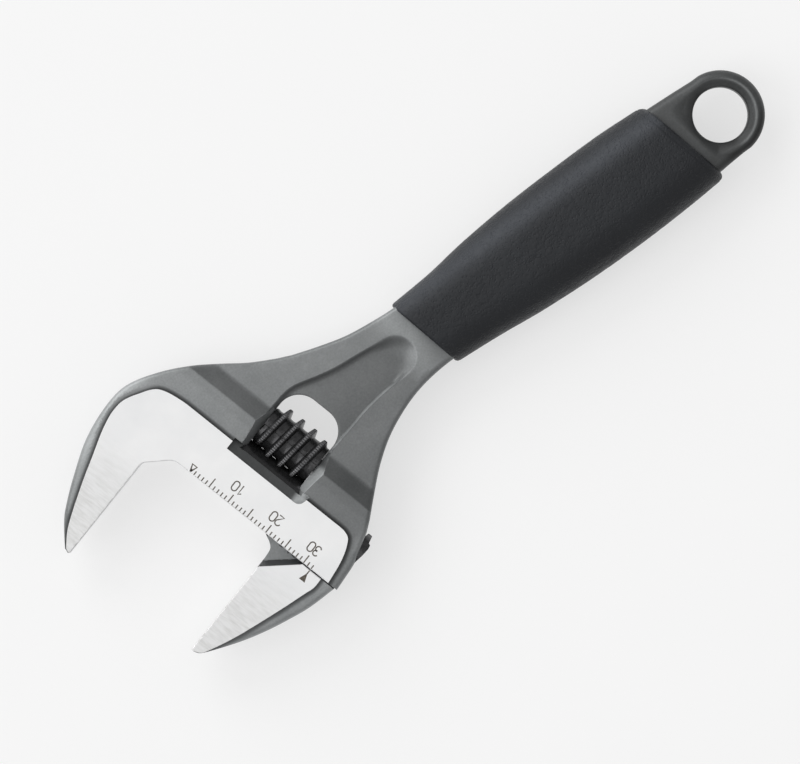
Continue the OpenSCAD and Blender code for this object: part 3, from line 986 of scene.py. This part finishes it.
def make_knurl():
    n = SERRATIONS * 6
    half = (0.14, 0.28, 0.36, 0.5, 0.68, 0.86, 0.95, 1.2)
    offsets = (-1.6, *(-o for o in half[::-1]), 0.0, *half)
    per_pitch = len(offsets)
    turns = range(-3, 6)
    s = np.array([CREST_V + PITCH * k + o for k in turns for o in offsets])
    a = np.arange(n) * 360.0 / n
    v = np.clip(s[:, None] - PITCH * a[None] / 360, KNURL_V0, KNURL_V1)
    r = knurl_radius(np.broadcast_to(a, v.shape), v)
    rad = np.radians(a)
    verts = np.stack([KNURL_U + r * np.sin(rad), v, r * np.cos(rad)], axis=2).reshape(-1, 3)
    faces = []
    for i in range(len(s) - 1):
        for j in range(n):
            # the last column joins the first one, a turn of the thread further on
            k, up = (j + 1, i) if j + 1 < n else (0, i + per_pitch)
            if up + 1 < len(s):
                faces.append(((i + 1) * n + j, (up + 1) * n + k, up * n + k, i * n + j))
    obj = new_object("adjusting_knurl", on_axis(verts), faces, [OXIDE], sharp=KNURL_SHARP)
    bm = bmesh.new()
    bm.from_mesh(obj.data)
    bmesh.ops.remove_doubles(bm, verts=bm.verts, dist=1e-7)
    bmesh.ops.dissolve_degenerate(bm, dist=1e-7, edges=bm.edges)
    bmesh.ops.holes_fill(bm, edges=[e for e in bm.edges if e.is_boundary], sides=0)
    bmesh.ops.recalc_face_normals(bm, faces=bm.faces)
    bm.to_mesh(obj.data)
    bm.free()
    smooth(obj.data, KNURL_SHARP)
    bore = [(KNURL_V0 - 1, PIN_BORE_R), (SPRING_V, PIN_BORE_R), (SPRING_V, SPRING_BORE_R),
            (KNURL_V1 + 1, SPRING_BORE_R)]
    cut_away(obj, lathe("knurl_bore", bore, [OXIDE]))
    smooth(obj.data, KNURL_SHARP)

    def tone(p):
        """A painted highlight makes the ridge's crest paler than the core."""
        out = np.hypot(to_head(p[:, :2])[:, 0] - KNURL_U, p[:, 2])
        return 1 + 1.6 * ease((out - 5.1) / 0.4)

    return paint(obj, tone)


def make_pin():
    slot_depth, slot_half, head_v = 0.8, 0.35, PIN_HEAD_V1
    profile = [(PIN_V0, 1.2), (PIN_V0 + 0.4, PIN_R), (PIN_HEAD_V0, PIN_R), (PIN_HEAD_V0, PIN_HEAD_R),
            (head_v - 0.25, PIN_HEAD_R), (head_v, PIN_HEAD_R - 0.25)]
    pin = lathe("slotted_pin", profile, [BRIGHT])
    slot = [(KNURL_U - 3, head_v - slot_depth), (KNURL_U + 3, head_v - slot_depth),
            (KNURL_U + 3, head_v + 1), (KNURL_U - 3, head_v + 1)]
    cut_away(pin, prisms("pin_slot", [slot], -slot_half, slot_half, [BRIGHT]))
    return pin


def make_spring():
    coils, steps, r, wire = 4, 24, 2.3, 0.3
    v0, v1 = 5.55, 8.35
    curve_data = bpy.data.curves.new("end_play_spring", "CURVE")
    curve_data.dimensions = "3D"
    curve_data.bevel_depth = wire * MM
    curve_data.bevel_resolution = 4
    curve_data.use_fill_caps = True
    spline = curve_data.splines.new("POLY")
    last = coils * steps
    spline.points.add(last)
    turn = np.arange(last + 1) * 2 * math.pi / steps
    rise = v0 + (v1 - v0) * np.arange(last + 1) / last
    points = on_axis(np.column_stack([KNURL_U + r * np.sin(turn), rise, r * np.cos(turn)])) * MM
    for point, place in zip(spline.points, points):
        point.co = (*place, 1)
    curve_data.materials.append(BRIGHT)
    return add_object("end_play_spring", curve_data)


# ---- the grip sleeve

SLEEVE_SHEAR = 0.235  # slant of the sleeve's ends
SLEEVE_T = 8.0  # half thickness at its thickest place
SLEEVE_SIDES = 176
LIP_0, LIP_1 = 1.5, 0.7  # radii of the rolled lips
# place along the handle, half width, sideways shift, and share of the full thickness
STATIONS = [(9.2, 11, 0, 0.88), (20, 11.62, 0, 0.97), (32, 11.75, 0.15, 1), (44, 11.5, 0.2, 0.98),
        (56, 10.7, 0.25, 0.91), (66, 9.55, 0.3, 0.83), (76.2, 8.85, 0.2, 0.79)]


def sleeve_ring(x, half_y, shift, half_z):
    """One ring round the handle, slanted like the sleeve's ends: nearly flat on top, then a facet."""
    quarter = curve([(0, 1), (0.2, 0.995), (0.4, 0.968), (0.6, 0.88), (0.8, 0.72), (0.92, 0.51),
        (0.985, 0.25), (1, 0)], 12)
    along = np.concatenate([[0], np.cumsum(np.hypot(*np.diff(quarter, axis=0).T))])
    place = np.linspace(0, along[-1], SLEEVE_SIDES // 4 + 1)[:-1]
    c = np.interp(place, along, quarter[:, 0])
    s = np.interp(place, along, quarter[:, 1])
    y = np.concatenate([c, [1], c[:0:-1], -c, [-1], -c[:0:-1]])
    z = np.concatenate([s, [0], -s[:0:-1], -s, [0], s[:0:-1]])
    y = shift + half_y * y
    return np.column_stack([x - SLEEVE_SHEAR * y, y, half_z * z])


def sleeve_bore_ring(x, half_y, half_z):
    """One ring just inside the forging's surface, where the sleeve's ends close on it."""
    a = np.linspace(0.5 * math.pi, -1.5 * math.pi, SLEEVE_SIDES, endpoint=False)
    boxy = 0.35  # 1 is an ellipse, 0 is a rectangle
    y = half_y * np.sign(np.cos(a)) * np.abs(np.cos(a)) ** boxy
    z = half_z * np.sign(np.sin(a)) * np.abs(np.sin(a)) ** boxy
    return np.column_stack([x - SLEEVE_SHEAR * y, y, z])


def make_sleeve():
    st = np.array(STATIONS)
    x0, x1 = st[0, 0], st[-1, 0]
    along = np.linspace(x0, x1, 170)
    half_y = smooth_through(st[:, 0], st[:, 1], along)
    shift = np.interp(along, st[:, 0], st[:, 2])
    half_z = smooth_through(st[:, 0], st[:, 3], along) * SLEEVE_T

    def lip(i, r, inward, turns):
        """Rings that roll one end of the sleeve over a quarter of a circle."""
        out = []
        for turn in map(math.radians, turns):
            drop, back = r * (1 - math.sin(turn)), r * (1 - math.cos(turn))
            x = along[i] + inward * back
            out.append(sleeve_ring(x, half_y[i] - drop, shift[i], half_z[i] - drop))
        return out

    quarter = [11.25 * k for k in range(9)]
    rings = [sleeve_bore_ring(x0 + 2, 8.9, 3.3), sleeve_bore_ring(x0, 8.9, 3.3)]
    rings += lip(0, LIP_0, 1, quarter)
    rings += [sleeve_ring(*r) for r in zip(along, half_y, shift, half_z)
            if x0 + LIP_0 < r[0] < x1 - LIP_1]
    rings += lip(-1, LIP_1, -1, quarter[::-1])
    rings += [sleeve_bore_ring(x1, 7.3, 3.5), sleeve_bore_ring(x1 - 2, 7.3, 3.5)]
    n = len(rings[0])
    verts = np.vstack(rings)
    depth, sink = 0.035, 0.05  # of the moulded grain
    for i in range(2 * n, len(verts) - 2 * n):
        x, y, z = verts[i]
        at = Vector((x, y, z))
        grain = noise.noise(at * 1.9) + 0.6 * noise.noise(at * 4.1)
        out = np.array([0, y / 11.5, z / SLEEVE_T])
        verts[i] += out / max(np.hypot(out[1], out[2]), 0.1) * (depth * grain - sink)
    faces = []
    for i in range(len(rings)):
        k = (i + 1) % len(rings)
        faces += [(i * n + j, i * n + (j + 1) % n, k * n + (j + 1) % n, k * n + j) for j in range(n)]
    sleeve = outward(new_object("handle_sleeve", verts, faces, [SLEEVE], sharp=60))

    def tone(p):
        """A painted highlight makes the sleeve paler along its lower facet, and painted shade makes it a
        little darker on its upper side.
        """
        return 1 + 1.6 * np.exp(-((p[:, 1] + 7.4) / 2.1) ** 2) - 0.2 * ease((p[:, 1] - 2) / 6)

    return paint(sleeve, tone)


# ---- the scale

MARK_Z0, MARK_Z1 = BAR_T - 0.03, BAR_T + 0.012
ZERO_V = -10.9
TICK_W, TICK_END_U = 0.26, BAR_U1 - 0.15
TICK_START_U = {10: 17.9, 5: 17.65, 1: 18.9}  # for ticks at multiples of 10, of 5, and of 1
ZERO_U = 19.75  # tip of the zero triangle
NUMBER_U, NUMBER_W = 15.15, 0.27  # foot of the numbers, and the width of their strokes


def mark_mesh(name, outlines):
    """Thin dark marks on the ground face."""
    return prisms(name, outlines, MARK_Z0, MARK_Z1, [MARK])


def stroke(points, width):
    """A line of that width through the points, as one outline."""
    line = np.asarray(points, float)
    n = normals(line) * width / 2
    return np.vstack([line + n, (line - n)[::-1]])


GLYPH_W, GLYPH_H, GLYPH_GAP = 1.22, 2.15, 0.28


def glyph(digit):
    """Strokes of a digit, from its lower left corner."""
    w, h = GLYPH_W, GLYPH_H
    r = w / 2
    if digit == "0":
        return [np.vstack([arc((r, h - r), r, 0, 180, 12), arc((r, r), r, 180, 360, 12), [(w, h - r)]])]
    if digit == "1":
        return [np.array([(0.2, h - 0.5), (0.75, h), (0.75, 0)])]
    if digit == "2":
        return [np.vstack([arc((r, h - r), r, 170, -35, 12), [(0.05, 0.0), (w, 0.0)]])]
    top, low = 0.27 * h, 0.27 * h
    return [np.vstack([arc((r, h - top), top, 160, -90, 12), arc((r, low), low, 90, -160, 12)])]


def number_marks(number, v):
    """A number that reads towards the fixed jaw, centred beside its tick."""
    strokes = []
    total = len(number) * GLYPH_W + (len(number) - 1) * GLYPH_GAP
    for i, digit in enumerate(number):
        for line in glyph(digit):
            across = line[:, 0] + i * (GLYPH_W + GLYPH_GAP) - total / 2
            strokes.append(stroke(np.column_stack([NUMBER_U + line[:, 1], v - across]), NUMBER_W))
    return strokes


def make_scale():
    ticks = []
    for mm in range(1, 33):
        start = next(u for step, u in TICK_START_U.items() if mm % step == 0)
        ticks.append(stroke([(start, ZERO_V + mm), (TICK_END_U, ZERO_V + mm)], TICK_W))
    tip = (ZERO_U, ZERO_V)
    zero = [stroke([tip, (18.2, ZERO_V + 0.6), (18.2, ZERO_V - 0.6), tip], 0.36),
            [tip, (19.1, ZERO_V + 0.3), (19.1, ZERO_V - 0.3)]]
    numbers = [s for mm in (10, 20, 30) for s in number_marks(str(mm), ZERO_V + mm - 0.05)]
    return mark_mesh("scale_marks", ticks + zero + numbers)


def make_pointer():
    v = ZERO_V + 32
    arrow = [(20.9, v), (22.9, v - 0.75), (22.9, v + 0.75)]
    return mark_mesh("jaw_pointer", [stroke([(JAW_U + 0.15, v), (21.3, v)], TICK_W), arrow])


# ---- the pieces on their bodies

PIECES = [
    (finish_forging, "frame", "forged_steel", ("body_forging",)),
    (make_sleeve, "frame", "sleeve_polymer", ("grip_sleeve",)),
    (make_jaw, "jaw", "ground_steel", ("moving_jaw",)),
    (make_knurl, "knurl_body", "oxide_steel", ("knurl",)),
    (make_pin, "frame", "bright_steel", ("knurl_pin",)),
    (make_spring, "knurl_body", "bright_steel", ("knurl_spring",)),
    (make_scale, "frame", "oxide_steel", ()),
    (make_pointer, "jaw", "oxide_steel", ()),
]
for make, body, slot_name, nodes in PIECES:
    piece = make()
    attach(piece, body)
    if nodes:
        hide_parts(*nodes)


# ---- floor, light and camera

FLOOR_SIZE, FLOOR_ALBEDO, FLOOR_GLOW, WORLD_STRENGTH = 24.0, 0.36, 0.6, 0.45


def pale_floor():
    n = Nodes("pale_floor")
    speck = n.ramp(n.noise(40, 2), (0.3, FLOOR_ALBEDO * 0.99), (0.7, FLOOR_ALBEDO))
    return n.set(Base_Color=speck, Roughness=0.9, Emission_Color=(1.0, 1.0, 1.0, 1.0),
            Emission_Strength=FLOOR_GLOW)


def make_stage():
    low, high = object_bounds()
    middle = (low + high) / 2
    bpy.ops.mesh.primitive_plane_add(size=FLOOR_SIZE, location=(middle.x, middle.y, low.z))
    floor = bpy.context.object
    floor.name = "floor"
    floor.data.materials.append(pale_floor())
    floor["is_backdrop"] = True
    world = bpy.data.worlds.new("studio")
    world.use_nodes = True
    background = world.node_tree.nodes["Background"]
    background.inputs["Color"].default_value = (1, 1, 1, 1)
    background.inputs["Strength"].default_value = WORLD_STRENGTH
    bpy.context.scene.world = world
    bpy.context.scene.view_settings.view_transform = "Standard"


UP_IN_VIEW = Vector((-0.592, -0.806, 0))
RIGHT_IN_VIEW = Vector((-0.806, 0.592, 0))


def make_light(name, across, up, above, size, radiance):
    """A soft square light, placed by the photo's own right and up, and towards the viewer."""
    low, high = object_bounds()
    target = (low + high) / 2
    place = target + RIGHT_IN_VIEW * across + UP_IN_VIEW * up + Vector((0, 0, above))
    data = bpy.data.lights.new(name, "AREA")
    data.shape = "SQUARE"
    data.size = size
    data.energy = radiance * math.pi * size * size
    light = add_object(name, data)
    light.location = place
    light.rotation_mode = "QUATERNION"
    light.rotation_quaternion = (target - place).to_track_quat("-Z", "Y")


VIEW_WIDTH, LENS, SENSOR = 0.1656, 400.0, 36.0  # metres across the picture, then millimetres
LEFT_MARGIN, LOW_MARGIN = 3.0 * MM, 4.2 * MM  # how far the picture's middle lies off the object's


def make_camera():
    """A long lens straight above the scale's face, with the handle towards the upper right."""
    places = np.array([v.co[:] for node in frame["nodes"].values() for v in node.data.vertices])
    across, up = places @ np.array(RIGHT_IN_VIEW), places @ np.array(UP_IN_VIEW)
    middle = (RIGHT_IN_VIEW * ((across.min() + across.max()) / 2 - LEFT_MARGIN)
            + UP_IN_VIEW * ((up.min() + up.max()) / 2 - LOW_MARGIN))
    data = bpy.data.cameras.new("camera")
    data.lens = LENS
    data.sensor_width = SENSOR
    data.clip_start, data.clip_end = 0.1, 50
    data.dof.use_dof = False
    camera = add_object("camera", data)
    camera.location = middle + Vector((0, 0, VIEW_WIDTH * LENS / SENSOR))
    camera.rotation_mode = "QUATERNION"
    turn = Matrix((RIGHT_IN_VIEW, UP_IN_VIEW, (0, 0, 1))).transposed()
    camera.rotation_quaternion = turn.to_quaternion()
    bpy.context.scene.camera = camera


make_stage()
make_light("key", -2.1, -0.3, 2.1, 2.0, 1.75)
make_light("side", -1.3, 1.8, 1.4, 1.8, 2.3)
make_light("overhead", -0.1, 0.1, 2.6, 2.0, 0.68)
make_camera()
